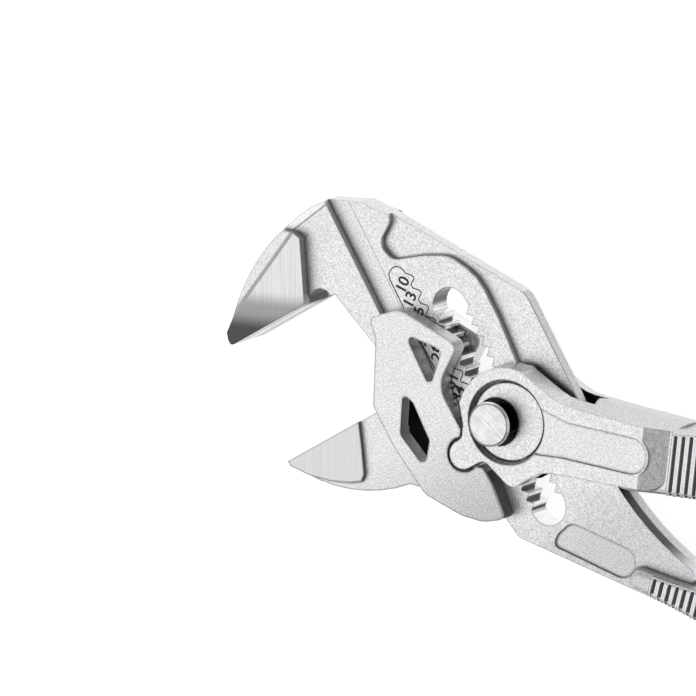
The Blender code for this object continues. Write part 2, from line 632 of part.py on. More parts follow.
def make_bolt(material):
    """Bolt whose two toothed flanks mesh with the slot, with a flat neck above them."""
    tip = TOOTH_TIP + TOOTH - MESH_GAP
    root = TOOTH_TIP - MESH_GAP
    count = math.floor(BOLT_R / PITCH)
    flank = []
    for k in range(-2 * count, 2 * count + 1):
        flank.append((tip if k % 2 == 0 else root, BOLT_Y + k * PITCH / 2))
    edge = [(tip, BOLT_Y - BOLT_R)] + flank + [(tip, BOLT_Y + BOLT_R)]
    toothed = [(SLOT_X + x, y) for x, y in edge] + [(SLOT_X - x, y) for x, y in edge[::-1]]
    axis = (SLOT_X, BOLT_Y)
    bolt = turned_solid("lock_bolt", [(BOLT_R, BOLT_LOW), (BOLT_R, BOLT_TEETH_TOP)], axis)
    combine(bolt, prism("toothed", toothed, BOLT_LOW - OVERRUN, BOLT_TEETH_TOP + OVERRUN), "INTERSECT")
    shoulder_r = BOLT_R - GAP / 3
    shoulder = turned_solid("shoulder", [(shoulder_r, BOLT_TEETH_TOP - GAP), (shoulder_r, SHANK / 2)], axis)
    combine(shoulder, prism("flats", strip(NECK_HALF, BOLT_R + GAP), -BOSS, BOSS), "INTERSECT")
    join(bolt, shoulder)
    neck_top = BOSS / 2 + BUTTON_PROUD - BUTTON_H - GAP
    join(bolt, prism("neck", strip(NECK_HALF - GAP / 3, BOLT_R - BOLT_NECK), BOLT_TEETH_TOP, neck_top))
    cut(bolt, turned_solid("bore", [(BOLT_BORE_R, BOLT_LOW - OVERRUN), (BOLT_BORE_R, BOLT_BORE_TOP)], axis))
    finish(bolt, "lock_bolt", material)


def make_button(material):
    top = BOSS / 2 + BUTTON_PROUD
    profile = [(BUTTON_R - BUTTON_EDGE, top - BUTTON_H), (BUTTON_R, top - BUTTON_H + BUTTON_EDGE),
               (BUTTON_R, top - 2 * BUTTON_EDGE), (BUTTON_R - BUTTON_EDGE, top - BUTTON_EDGE),
               (BUTTON_R / 2, top - BUTTON_EDGE / 4), (0, top)]
    finish(turned_solid("push_button", profile, (SLOT_X, BOLT_Y)), "push_button", material)


def make_rear_cap(material):
    low = -BOSS / 2
    profile = [(BOLT_R, low), (BOLT_R, low + CAP), (POST_R, low + CAP), (POST_R, POST_TOP)]
    finish(turned_solid("rear_cap", profile, (SLOT_X, BOLT_Y)), "rear_cap", material)


def make_spring(material):
    """Coil spring between the post and the end of the bolt's bore, with straight square ends."""
    low = POST_TOP + GAP + SPRING_WIRE / 2
    high = BOLT_BORE_TOP - GAP - SPRING_WIRE / 2
    steps = 10 * SPRING_TURNS
    curve = bpy.data.curves.new("return_spring", "CURVE")
    curve.dimensions = "3D"
    curve.bevel_depth = SPRING_WIRE / 2
    curve.bevel_resolution = 1
    curve.use_fill_caps = True
    spline = curve.splines.new("POLY")
    spline.points.add(steps)
    for k in range(steps + 1):
        angle = math.tau * SPRING_TURNS * k / steps
        spline.points[k].co = (SLOT_X + SPRING_R * math.cos(angle), BOLT_Y + SPRING_R * math.sin(angle),
                               low + (high - low) * k / steps, 1)
    curve.materials.append(material)
    spring = bpy.data.objects.new("return_spring", curve)
    spring.location.z = BOSS / 2
    bpy.context.scene.collection.objects.link(spring)


def main():
    for old in list(bpy.data.objects):
        bpy.data.objects.remove(old)
    satin = metal("satin_nickel", (0.74, 0.75, 0.76), 0.34)
    bright = metal("bright_steel", (0.8, 0.81, 0.82), 0.18)
    dark = metal("dark_steel", (0.3, 0.31, 0.32), 0.4)
    make_fixed_jaw(satin)
    make_sliding_jaw(satin)
    make_lever(satin)
    make_bush("front_bush", 1, BOSS / 2 - BUSH_SUNK, satin)
    make_bush("rear_bush", -1, BOSS / 2 - REAR_SUNK, satin)
    make_bolt(dark)
    make_button(bright)
    make_rear_cap(satin)
    make_spring(dark)


main()
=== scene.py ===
# %% [markdown]
# # A pliers wrench in satin nickel
# The tool is three forgings and a push-button lock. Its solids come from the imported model, already in place
# and in metres. This script gives them their finish, and adds the lock's coil, the ribs of the grips, the
# size scale, the light and the camera.

# %% Load the solids
import math

import bpy
import bmesh
from mathutils import Matrix, Vector


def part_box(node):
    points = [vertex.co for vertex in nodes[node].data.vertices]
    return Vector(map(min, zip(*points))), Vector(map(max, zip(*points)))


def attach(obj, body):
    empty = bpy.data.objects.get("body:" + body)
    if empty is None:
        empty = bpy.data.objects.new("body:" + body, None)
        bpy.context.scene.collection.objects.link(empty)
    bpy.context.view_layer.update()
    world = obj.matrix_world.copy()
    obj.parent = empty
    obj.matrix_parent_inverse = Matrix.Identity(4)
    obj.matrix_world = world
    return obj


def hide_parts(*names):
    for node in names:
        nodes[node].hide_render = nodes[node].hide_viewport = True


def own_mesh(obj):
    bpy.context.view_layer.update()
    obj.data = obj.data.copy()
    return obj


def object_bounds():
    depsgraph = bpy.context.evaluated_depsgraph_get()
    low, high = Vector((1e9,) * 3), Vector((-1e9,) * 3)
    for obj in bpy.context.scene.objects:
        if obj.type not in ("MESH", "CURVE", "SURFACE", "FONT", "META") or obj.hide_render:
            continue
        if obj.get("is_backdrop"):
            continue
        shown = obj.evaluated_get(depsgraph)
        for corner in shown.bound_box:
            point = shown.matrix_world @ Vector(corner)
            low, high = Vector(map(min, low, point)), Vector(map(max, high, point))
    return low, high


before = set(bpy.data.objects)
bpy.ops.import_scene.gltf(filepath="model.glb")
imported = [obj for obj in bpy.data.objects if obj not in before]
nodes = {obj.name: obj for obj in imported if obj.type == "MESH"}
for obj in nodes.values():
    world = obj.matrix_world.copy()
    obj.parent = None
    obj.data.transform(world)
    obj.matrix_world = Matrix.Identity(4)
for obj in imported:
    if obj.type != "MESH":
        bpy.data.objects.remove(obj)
solid_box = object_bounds()
print("solids:", sorted(nodes))

# %% [markdown]
# ## Measuring the solids
# A finish has to meet the steel exactly. The places that many finishes need could be typed in again, but
# read from the solids' boxes they can't drift apart from the steel. The tool is alike on both sides of its
# middle plane, and the bolt stands in the middle of the slot. The forgings' faces lie at a few heights over
# the middle plane, and these are written once. Lengths on the tool are in millimetres.

# %% Measure the solids
MM = 0.001
WEB_FACE = 1.3
ABOVE_WEB = 2
SHANK_FACE = 2.6
HEAD_FACE = 3.4
PAST_FACE = 0.05


def middle_of(node, axis):
    """Middle of a solid along an axis, in millimetres."""
    low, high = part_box(node)
    return round((low[axis] + high[axis]) / 2 / MM, 2)


MIDDLE = middle_of("fixed_jaw", 2)
BOLT = (middle_of("push_button", 0), middle_of("push_button", 1))
print("middle plane at height %.2f mm, bolt at %.2f, %.2f mm" % (MIDDLE, *BOLT))

# %% [markdown]
# ## The camera
# The photograph was taken from far away with a long lens, looking down on the tool from its right side, so
# parallel edges stay nearly parallel. A camera could be aimed at the tool by a constraint, but a matrix holds
# the whole match: its first three columns are the directions that the camera calls right, up and back, and
# the fourth is where it stands. The directions were found by matching known points of the tool, such as the
# slot's teeth and the round boss, to their places in the picture.

# %% Place the camera
LENS = 569.7
SENSOR = 36
FARTHEST = 20
right = Vector((0.7475, -0.440359, -0.49732))
up = Vector((0.420848, 0.893205, -0.158341))
back = Vector((0.513936, -0.090936, 0.852995))
place = Vector((1006.065, -156.201, 1721.174)) * MM


def add(name, data):
    """An object that shows a mesh, a curve, a lamp or the camera."""
    made = bpy.data.objects.new(name, data)
    bpy.context.scene.collection.objects.link(made)
    return made


lens = bpy.data.cameras.new("photo_camera")
lens.lens = LENS
lens.sensor_width = SENSOR
lens.clip_end = FARTHEST
camera = add("photo_camera", lens)
camera.matrix_world = Matrix.Translation(place) @ Matrix((right, up, back)).transposed().to_4x4()
bpy.context.scene.camera = camera
print("camera distance %.2f m, lens %.0f mm" % (place.length, LENS))

# %% [markdown]
# ## Shader maths in Python
# A material is a graph of nodes. Each node could be added and linked by hand, but arithmetic is shorter and
# can be read: a Wire is one output socket, and adding, multiplying or comparing wires adds the Math nodes.

# %% Do sums with wires
class Wire:
    """One output socket of a finish, usable in Python arithmetic."""

    def __init__(self, finish, socket):
        self.finish = finish
        self.socket = socket

    def math(self, operation, *others, first=True):
        values = [self, *others] if first else [*others, self]
        return self.finish.node("ShaderNodeMath", {"operation": operation}, *values)

    def __add__(self, other):
        return self.math("ADD", other)

    def __sub__(self, other):
        return self.math("SUBTRACT", other)

    def __mul__(self, other):
        return self.math("MULTIPLY", other)

    def __truediv__(self, other):
        return self.math("DIVIDE", other)

    def __rsub__(self, other):
        return self.math("SUBTRACT", other, first=False)

    def __gt__(self, other):
        return self.math("GREATER_THAN", other)

    def __lt__(self, other):
        return self.math("LESS_THAN", other)

    def __abs__(self):
        return self.math("ABSOLUTE")

    __radd__ = __add__
    __rmul__ = __mul__

    def between(self, low, high):
        """0 below low, 1 above high, and smooth between them."""
        settings = {"interpolation_type": "SMOOTHSTEP"}
        return self.finish.node("ShaderNodeMapRange", settings, self, low, high, 0, 1)


print("wires can be added, multiplied and compared")

# %% [markdown]
# ## Finishes
# A Finish is a material with a Principled shader. Its node method makes any node from its type, its settings
# and what goes into its sockets, and the methods after it name the few things that metal needs: where a point
# is, which way the surface faces there, noise, a mix of two colours and a bump.

# %% Describe a finish
PER_METRE = 1000
NOISE_ROUGHNESS = 0.6


class Finish:
    """A material with a Principled shader whose steady values are set on the shader's own sockets."""

    def __init__(self, name, colour, roughness, metallic=1):
        self.material = bpy.data.materials.new(name)
        self.material.use_nodes = True
        self.tree = self.material.node_tree
        self.shader = self.tree.nodes["Principled BSDF"]
        self.shader.inputs["Base Color"].default_value = (*colour, 1)
        self.shader.inputs["Roughness"].default_value = roughness
        self.shader.inputs["Metallic"].default_value = metallic

    def node(self, kind, settings, *values, output=0):
        made = self.tree.nodes.new(kind)
        for name, value in settings.items():
            setattr(made, name, value)
        for socket, value in zip(made.inputs, values):
            self.put(socket, value)
        return Wire(self, made.outputs[output])

    def put(self, socket, value):
        if isinstance(value, Wire):
            self.tree.links.new(value.socket, socket)
        elif value is not None:
            socket.default_value = value

    def feed(self, name, value):
        self.put(self.shader.inputs[name], value)

    def parts(self, vector):
        """The X, Y and Z of a vector."""
        split = self.node("ShaderNodeSeparateXYZ", {}, vector)
        return [Wire(self, socket) for socket in split.socket.node.outputs]

    def position(self):
        """X, Y and Z on the object, in millimetres."""
        point = self.node("ShaderNodeTexCoord", {}, output="Object")
        return [part * PER_METRE for part in self.parts(point)]

    def facing(self, axis):
        """How much the surface faces along an axis of the object, from -1 to 1."""
        return self.parts(self.node("ShaderNodeTexCoord", {}, output="Normal"))[axis]

    def clouds(self, point, detail):
        """Noise from 0 to 1 whose lumps are one unit of point across."""
        return self.node("ShaderNodeTexNoise", {}, point, None, 1, detail, NOISE_ROUGHNESS)

    def noise(self, size, detail=2, stretch=(1, 1, 1)):
        """Noise whose lumps are about size millimetres across, times stretch along each axis."""
        point = self.node("ShaderNodeTexCoord", {}, output="Object")
        scale = [1 / (size * MM * factor) for factor in stretch]
        return self.clouds(self.node("ShaderNodeVectorMath", {"operation": "MULTIPLY"}, point, scale), detail)

    def colour_mix(self, share, first, second):
        """A colour between two colours."""
        made = self.tree.nodes.new("ShaderNodeMix")
        made.data_type = "RGBA"
        self.put(made.inputs[0], share)
        for socket, value in ((made.inputs[6], first), (made.inputs[7], second)):
            self.put(socket, value if isinstance(value, Wire) else (*value, 1))
        return Wire(self, made.outputs[2])

    def relief(self, height, depth, under):
        """A bump of the given depth in millimetres, over normals that are already turned."""
        bump = self.tree.nodes.new("ShaderNodeBump")
        bump.inputs["Distance"].default_value = depth * MM
        self.put(bump.inputs["Height"], height)
        self.put(bump.inputs["Normal"], under)
        return Wire(self, bump.outputs[0])


print("a finish feeds wires to its shader")

# %% [markdown]
# ## Masks
# A mask is a wire that is 1 where a finish lies and 0 elsewhere. It could be painted on an image, but worked
# out from where a point is on the tool, and from where the surface faces, it stays sharp from close up and
# needs no image. Multiplied masks keep what both have, and 1 minus a mask is the rest.

# %% Make masks from places
def along(x, y, degrees):
    """Distance along a direction in the plane of the tool."""
    angle = math.radians(degrees)
    return x * math.cos(angle) + y * math.sin(angle)


def past_line(x, y, point, normal):
    """Distance past a line through a point, measured along the line's normal."""
    return (x - point[0]) * normal[0] + (y - point[1]) * normal[1]


def distance_from(x, y, point):
    """Distance from a point in the plane of the tool."""
    beside = x - point[0]
    above = y - point[1]
    return (beside * beside + above * above).math("SQRT")


def region(x, y, left=None, right=None, low=None, high=None):
    """1 inside a rectangle in the plane of the tool. A side that isn't given is open."""
    mask = 1
    for value, limit in ((x, left), (y, low)):
        if limit is not None:
            mask = (value > limit) * mask
    for value, limit in ((x, right), (y, high)):
        if limit is not None:
            mask = (value < limit) * mask
    return mask


def band(value, rise, fall):
    """1 between two soft limits: it rises over the first pair of values and falls over the second."""
    return value.between(*rise) * (1 - value.between(*fall))


def steep(made):
    """1 on walls and 0 on faces that look straight up or down."""
    return 1 - abs(made.facing(2)).between(0.3, 0.8)


print("masks: line, circle, rectangle, band and wall")

# %% [markdown]
# ## Satin nickel
# The forgings were shot-blasted and then plated, so the metal is pale and softly bright, with a grain of
# dimples that is much too fine to model. Noise of two sizes drives a bump and speckles the colour. No edge is
# sharp: the Bevel node turns the normals close to an edge, so each edge catches the light while the solids
# keep their exact shape. The corner between two faces gets painted shade, darker where the Ambient Occlusion
# node finds it closed in. Everything else is a spot: a mask, and the colour painted there. A few spots are
# the metal's own tone, and most are painted shade or a painted highlight. A number that multiplies the mask
# says how much of the colour shows.

# %% Mix the satin
EDGE_ROUND = 0.35
CREVICE_REACH = 0.7
SATIN_ROUGHNESS = 0.3
SATIN_RELIEF = 0.04
NICKEL = (0.77, 0.775, 0.78)
NICKEL_DIM = (0.52, 0.525, 0.53)
NICKEL_BRIGHT = (0.92, 0.925, 0.93)
SHADE = (0.05, 0.052, 0.055)


def soft_edges(made, radius=EDGE_ROUND):
    return made.node("ShaderNodeBevel", {"samples": 6}, radius * MM)


def crevice(made):
    """Painted shade: 1 deep in a corner between two faces and 0 in the open."""
    settings = {"samples": 6, "only_local": True}
    light = made.node("ShaderNodeAmbientOcclusion", settings, None, CREVICE_REACH * MM, output="AO")
    return 1 - light.between(0.48, 0.96)


def satin(made, spots):
    """Colours a finish in satin nickel with painted shade in its corners, and gives its grain. Each spot is a
    mask and a colour.
    """
    grain = made.noise(0.27, 3) * 1.4 + made.noise(0.13, 1) * 0.6
    colour = made.colour_mix(grain.between(0.7, 1.3), NICKEL_DIM, NICKEL_BRIGHT)
    for mask, tone in spots:
        colour = made.colour_mix(mask, colour, tone)
    # painted shade in the corners between faces
    made.feed("Base Color", made.colour_mix(crevice(made) * 0.85, colour, SHADE))
    return grain


print("satin between", NICKEL_DIM, "and", NICKEL_BRIGHT)

# %% [markdown]
# ## Belt-ground flats
# The flats beside the gripping faces were ground on a belt, so they carry fine straight scratches instead of
# grain. Noise that is squeezed across one direction and stretched along it makes such lines. The button's
# face is brushed the same way, with other sizes.

# %% Draw brushed lines
PAD_LEVEL = (4.9, 5.2)
PAD_DIM = (0.54, 0.55, 0.56)
PAD_BRIGHT = (0.72, 0.725, 0.73)


def brushed_lines(made, x, y, across, width, length):
    """Fine lines of noise, square to a direction given in degrees."""
    point = (along(x, y, across) / width, along(x, y, across + 90) / length, 0)
    return made.clouds(made.node("ShaderNodeCombineXYZ", {}, *point), 3)


def ground_pad(made, x, y):
    """The ground metal of the flats: its colour, and its scratches as a height."""
    scratches = brushed_lines(made, x, y, across=-30, width=0.13, length=16)
    return made.colour_mix(scratches.between(0.3, 0.7), PAD_DIM, PAD_BRIGHT), scratches * 0.2


print("flats between", PAD_DIM, "and", PAD_BRIGHT)

# %% [markdown]
# ## The fixed jaw's head
# The ground flat ends at a straight line along the crown, in a shallow groove left by the edge of the belt,
# and it falls away towards the tip, where painted shade darkens it. Further up, the same groove sets a narrow
# strip with a painted highlight apart from the satin. The groove is painted shade, too shallow for the
# solids.

# %% Finish the head
PAD_FOOT = 20
PAD_END = (-23.2, 49.2)
PAD_END_NORMAL = (-0.379, 0.926)
TIP_HEADING = -120.5
CROWN = (-15.9, 50.95)
CROWN_NORMAL = (-0.125, 1)
BLACK = (0, 0, 0)
SHADE_GREY = (0.1, 0.103, 0.107)
CROWN_HIGHLIGHT = (0.95, 0.955, 0.96)


def head_spots(made, x, y, level, wall):
    """The flat and the crown's strip, with painted shade and highlight. The flat's mask, its scratches and
    the spots come back.
    """
    past_end = past_line(x, y, PAD_END, PAD_END_NORMAL)
    on_top = level.between(*PAD_LEVEL) * (1 - wall) * (y > PAD_FOOT)
    pad = on_top * (1 - past_end.between(-0.1, 0.1))
    # painted shade along the flat's end, in its shallow groove
    rim = on_top * band(past_end, (-0.1, 0.1), (0.5, 0.9))
    steel, scratches = ground_pad(made, x, y)
    to_tip = along(x, y, TIP_HEADING)
    # painted shade that darkens the flat towards the tip
    light = 1 - to_tip.between(-19.8, -16.2) * 0.54 - to_tip.between(-15.5, -12) * 0.35
    past_crown = past_line(x, y, CROWN, CROWN_NORMAL)
    crown = (1 - wall) * (level > ABOVE_WEB) * (1 - on_top) * region(x, y, left=-24.6, right=-15.6)
    # painted shade along the crown's line, and a painted highlight on the strip beyond it
    crown_shade_line = crown * band(past_crown, (-0.15, 0), (0.2, 0.35))
    crown_highlight = crown * past_crown.between(0.2, 0.35)
    spots = [(rim * 0.6, SHADE_GREY), (crown_shade_line * 0.6, SHADE_GREY), (crown_highlight * 0.5, CROWN_HIGHLIGHT)]
    return pad, scratches, spots + [(pad, made.colour_mix(light, BLACK, steel))]


print("flat ends at", PAD_END, "and the crown's strip passes", CROWN)

# %% [markdown]
# ## The toothed slot
# The slot was broached after plating. One flank of each tooth faces the light and gets a painted highlight,
# the other gets painted shade, and the broach left streaks down the walls. The round end at the top gets
# painted shade. Lamps alone don't give that contrast in so narrow a slot, so the colour paints it by which
# way a flank faces.

# %% Finish the slot
SLOT_HALF = 3.9
SLOT_LOW = -20.6
SLOT_HIGH = 28
FLANK_LIT = (0.94, 0.95, 0.96)
FLANK_SHADED = (0.02, 0.021, 0.023)
STREAK = (0.16, 0.165, 0.17)
ARC_SHADE = (0.04, 0.042, 0.045)


def slot_spot(made, x, y, wall):
    """The slot's walls and their colour: painted highlight, painted shade and streaks."""
    from_middle = abs(x - BOLT[0])
    slot = wall * (from_middle < SLOT_HALF) * region(x, y, low=SLOT_LOW, high=SLOT_HIGH)
    # painted highlight on the flanks facing the light, and painted shade in the valleys of the others
    shaded_valley = (made.facing(1) < -0.1) * from_middle.between(2.95, 3.1) * region(x, y, high=22.5)
    flank = made.colour_mix(shaded_valley, FLANK_LIT, FLANK_SHADED)
    streaks = made.noise(0.55, 2, (1, 1, 30)).between(0.45, 0.62) * region(x, y, low=-17.5)
    flank = made.colour_mix(streaks * 0.55, flank, STREAK)
    # painted shade on the round end at the top
    return slot, made.colour_mix(y.between(24.8, 26) * 0.9, flank, ARC_SHADE)


print("slot from %.1f to %.1f mm" % (SLOT_LOW, SLOT_HIGH))

# %% [markdown]
# ## The fixed jaw
# The walls between the forging's faces, and some low faces, get painted shade, most of all just under their
# upper edge and on the side away from the light. A plain studio light doesn't show that shade, so each of
# these walls is a spot, found by its place and by the height of the faces beside it.

# %% Darken the walls
NOTCH = (-26, 37.5)
NOTCH_RADIUS = 3.464
DEEP_SHADE = (0.03, 0.031, 0.033)


def wall_spots(made, x, y, height, wall):
    """Painted shade on walls and low faces of the fixed jaw."""
    level = abs(height)
    low_part = (1 - wall) * (1 - y.between(-28, -12)) * (level > ABOVE_WEB)
    ledge = wall * (level > SHANK_FACE + 2 * PAST_FACE) * region(x, y, high=-30)
    inner_wall = wall * (level > WEB_FACE + PAST_FACE) * region(x, y, right=6)
    inner_wall = inner_wall * (1 - made.facing(1).between(0.3, 0.6))
    right_side = wall * (level < SHANK_FACE + PAST_FACE) * region(x, y, left=6)
    right_side = right_side * band(y, (-40, -32), (-16, -10))
    under_edge = right_side * height.between(-0.3, 0.2)
    web_side = wall * region(x, y, left=12, low=-5)
    web_edge = web_side * height.between(1, 1.2)
    notch = wall * (distance_from(x, y, NOTCH) < NOTCH_RADIUS) * (level < HEAD_FACE + PAST_FACE)
    pad_side = wall * (level > HEAD_FACE + PAST_FACE) * region(x, y, left=-31, right=-15, low=30)
    # painted shade on the low faces, the walls, the notch and the flat's side
    return [(low_part * 0.24, SHADE_GREY), (ledge * 0.3, SHADE_GREY), (inner_wall * 0.45, SHADE_GREY),
            (right_side * 0.3, SHADE_GREY), (web_side * 0.32, SHADE_GREY), (web_edge * 0.92, SHADE),
            (under_edge * 0.97, DEEP_SHADE), (notch, SHADE), (pad_side * 0.5, SHADE)]


print("notch round", NOTCH, "with a radius of %.1f mm" % NOTCH_RADIUS)

# %% [markdown]
# The spots of the walls, the slot and the head go onto the satin one after the other. The ground flat and the
# slot have no grain: there the bump comes from the scratches alone, and the metal is smoother.

# %% Finish the fixed jaw
def uneven_gloss(made, least=0.25, size=9):
    """Roughness that wanders a little over the metal."""
    return least + made.noise(size, 3) * 0.1


def dress(name, finish):
    nodes[name].material_slots[0].material = finish.material
    print(name, "has the finish", finish.material.name)


def fixed_jaw_finish():
    made = Finish("satin_nickel_fixed_jaw", NICKEL, SATIN_ROUGHNESS)
    x, y, z = made.position()
    height = z - MIDDLE
    wall = steep(made)
    slot, flank = slot_spot(made, x, y, wall)
    pad, scratches, on_head = head_spots(made, x, y, abs(height), wall)
    grain = satin(made, [*wall_spots(made, x, y, height, wall), (slot, flank), *on_head])
    plain = 1 - (pad + slot)
    made.feed("Normal", made.relief(grain * plain + scratches * pad, SATIN_RELIEF, soft_edges(made)))
    made.feed("Roughness", uneven_gloss(made) - (1 - plain) * 0.1)
    return made


dress("fixed_jaw", fixed_jaw_finish())

# %% [markdown]
# ## The sliding jaw
# Its ground flat is plainer than the other one. The walls of the cheeks get painted shade in front and a
# painted highlight behind, and painted shade darkens their low part and the sides. The windows are deep: the
# lower one ends in the dark between the cheeks, where nothing shines, so it gets a painted shadow and also
# the roughest metal.

# %% Finish the sliding jaw
FLAT_RIGHT = -24
FLAT_GREY = (0.56, 0.565, 0.57)
PAINTED_HIGHLIGHT = (0.96, 0.965, 0.97)
BELOW_CHEEK = 5.7
UNDER_CHEEK_EDGE = 5.9
DEEP = 3.2
WINDOW_SHADOW = (0.006, 0.006, 0.006)


def sliding_jaw_finish():
    made = Finish("satin_nickel_sliding_jaw", NICKEL, SATIN_ROUGHNESS)
    x, y, z = made.position()
    level = abs(z - MIDDLE)
    wall = steep(made)
    pad = level.between(*PAD_LEVEL) * (level < BELOW_CHEEK) * (1 - wall) * region(x, y, right=FLAT_RIGHT)
    steel, scratches = ground_pad(made, x, y)
    low_part = (1 - wall) * (1 - y.between(-16, 9))
    front_wall = wall * (z > MIDDLE) * (1 - made.facing(1).between(0.2, 0.6) * 0.6)
    rear_wall = wall * (z < MIDDLE) * (made.facing(1) > 0.3)
    pad_side = wall * level.between(4.4, 4.6) * region(x, y, right=FLAT_RIGHT)
    low_side = wall * (level < UNDER_CHEEK_EDGE) * region(x, y, left=-12, high=-6)
    window_wall = wall * (made.facing(0) > 0.5)
    upper_window = window_wall * region(x, y, left=-13, right=-10, low=9)
    lower_window = window_wall * region(x, y, left=-28, right=-16, low=-2, high=15)
    deep_window = lower_window * (level < DEEP)
    # painted shade on the low part, the front walls, the windows and the sides, a painted highlight on the
    # rear walls, and a painted shadow deep in the lower window
    spots = [(low_part * 0.38, SHADE_GREY), (front_wall * (1 - upper_window * 0.6) * 0.3, SHADE_GREY),
             (rear_wall, PAINTED_HIGHLIGHT), (lower_window * (y.between(3, 9) * 0.35 + 0.5), SHADE),
             (pad_side * 0.7, SHADE), (low_side * 0.92, DEEP_SHADE), (deep_window, WINDOW_SHADOW),
             (pad, made.colour_mix(0.6, steel, FLAT_GREY))]
    grain = satin(made, spots)
    height = grain * (1 - pad) + scratches * pad * 0.4
    made.feed("Normal", made.relief(height, SATIN_RELIEF, soft_edges(made, 0.6)))
    made.feed("Roughness", uneven_gloss(made) - pad * 0.08 + deep_window * 0.55)
    return made


dress("sliding_jaw", sliding_jaw_finish())

# %% [markdown]
# ## The lever and the bushes
# The lever's slope down to its grip is darker, partly painted shade and partly the cloudy skin of the
# forging, and the fork gets painted shade inside. The slope is found by its lean: its normal points a little
# down the handle. The bushes share the satin, with a painted shadow in the well round the button, and the
# arm's upper side gets painted shade, a little darker than its face.

# %% Finish the lever and the bushes
SLOPE_HEADING = -37
FORK_INSIDE = 2.95
FORK_SHADE = (0.03, 0.03, 0.032)
WELL_REACH = 4.7
UNDER_BUSH_FACE = 12.1
WELL_SHADOW = (0.02, 0.02, 0.022)


def lever_finish():
    made = Finish("satin_nickel_lever", NICKEL, SATIN_ROUGHNESS)
    x, y, z = made.position()
    wall = steep(made)
    root_wall = wall * (made.facing(0) < -0.8) * region(x, y, left=12)
    in_fork = (abs(z - MIDDLE) < FORK_INSIDE) * ((1 - wall) + root_wall)
    lean = along(made.facing(0), made.facing(1), SLOPE_HEADING)
    slope = (1 - wall) * lean.between(0.05, 0.1) * region(x, y, left=15)
    skin = made.noise(0.9, 4).between(0.35, 0.7) * 0.2
    upper_side = wall * (made.facing(1) > 0.5) * region(x, y, left=13)
    # painted shade on the slope, clouded by the skin, on the arm's upper side and inside the fork
    grain = satin(made, [(slope * (skin + 0.4), SHADE_GREY), (upper_side * 0.17, SHADE_GREY), (in_fork, FORK_SHADE)])
    made.feed("Normal", made.relief(grain, SATIN_RELIEF, soft_edges(made)))
    made.feed("Roughness", uneven_gloss(made))
    return made


def bush_finish():
    made = Finish("satin_nickel_bushes", NICKEL, SATIN_ROUGHNESS)
    x, y, z = made.position()
    on_face = (1 - steep(made)) * (z > UNDER_BUSH_FACE)
    well = (distance_from(x, y, BOLT) < WELL_REACH) * (z > MIDDLE) * (1 - on_face)
    # painted shadow in the well round the button
    grain = satin(made, [(well, WELL_SHADOW)])
    made.feed("Normal", made.relief(grain, 0.03, soft_edges(made)))
    made.feed("Roughness", uneven_gloss(made, least=0.28, size=6))
    return made


dress("lever_handle", lever_finish())
bush_satin = bush_finish()
for name in ("front_bush", "rear_bush", "rear_cap"):
    dress(name, bush_satin)

# %% [markdown]
# ## Lock metals
# The button is turned from bright bar and brushed across its face. The line near its rim could be a groove in
# the solid, but it is only a tenth of a millimetre wide, so it is a ring in the colour. The bolt and the
# spring are hardened and stay dark.

# %% Finish the lock
BRUSHED_DIM = (0.5, 0.51, 0.52)
BRUSHED_BRIGHT = (0.86, 0.865, 0.87)
TURNED_LINE = (0.05, 0.05, 0.052)
UNDER_BUTTON_FACE = 15
HARD_DARK = (0.05, 0.05, 0.055)
HARD_PALE = (0.2, 0.2, 0.21)


def turned_bright():
    made = Finish("turned_bright", (0.7, 0.705, 0.71), 0.22)
    x, y, z = made.position()
    line = band(distance_from(x, y, BOLT), (3.68, 3.76), (3.84, 3.92)) * (z > UNDER_BUTTON_FACE)
    brushed = brushed_lines(made, x, y, across=20, width=0.12, length=5)
    clouds = made.noise(1.6, 2)
    share = (brushed * 0.75 + clouds * 0.25).between(0.35, 0.65)
    face = made.colour_mix(share, BRUSHED_DIM, BRUSHED_BRIGHT)
    made.feed("Base Color", made.colour_mix(line * 0.8, face, TURNED_LINE))
    made.feed("Normal", made.relief(brushed, 0.008, soft_edges(made, 0.25)))
    made.feed("Roughness", 0.16 + clouds * 0.14)
    return made


def hardened():
    made = Finish("hardened_steel", (0.1, 0.1, 0.105), 0.3)
    made.feed("Base Color", made.colour_mix(made.noise(1.2, 3), HARD_DARK, HARD_PALE))
    made.feed("Normal", made.relief(made.noise(0.2, 2), 0.01, soft_edges(made, 0.15)))
    return made


dark_steel = hardened()
dress("push_button", turned_bright())
dress("lock_bolt", dark_steel)

# %% [markdown]
# ## Return spring
# A coil stands on a post under the bolt and pushes the button out again. Its solid can't shorten, so a coil
# with closed ends takes its place. A curve with a round bevel would do for a plain helix. Here the first and
# last turns lie flat, so a ring of points is carried along and the height of each one is worked out. The
# closed ends take up three thicknesses of the wire.

# %% Shape the coil's wire
SPRING_LOW = 6.4
SPRING_HIGH = 12
SPRING_HEIGHT = SPRING_HIGH - SPRING_LOW
SPRING_RADIUS = 0.95
WIRE_RADIUS = 0.17
CLOSED_ENDS = 6 * WIRE_RADIUS
TURNS = 6
STEPS = 20
RING = 8


def coil_height(turn):
    """Height of the wire's middle: flat for a turn at each end and rising between them."""
    share = min(max((turn - 1) / (TURNS - 2), 0), 1)
    closed = 2 * WIRE_RADIUS * (min(turn, 1) + max(turn - TURNS + 1, 0))
    return SPRING_LOW + WIRE_RADIUS + closed + (SPRING_HEIGHT - CLOSED_ENDS) * share


def wire_ring(mesh, turn):
    """A ring of points round the wire, some turns up the coil."""
    outward = Vector((math.cos(math.tau * turn), math.sin(math.tau * turn), 0))
    middle = Vector((*BOLT, coil_height(turn))) + outward * SPRING_RADIUS
    ring = []
    for k in range(RING):
        angle = math.tau * k / RING
        offset = outward * math.cos(angle) + Vector((0, 0, 1)) * math.sin(angle)
        ring.append(mesh.verts.new((middle + offset * WIRE_RADIUS) * MM))
    return ring


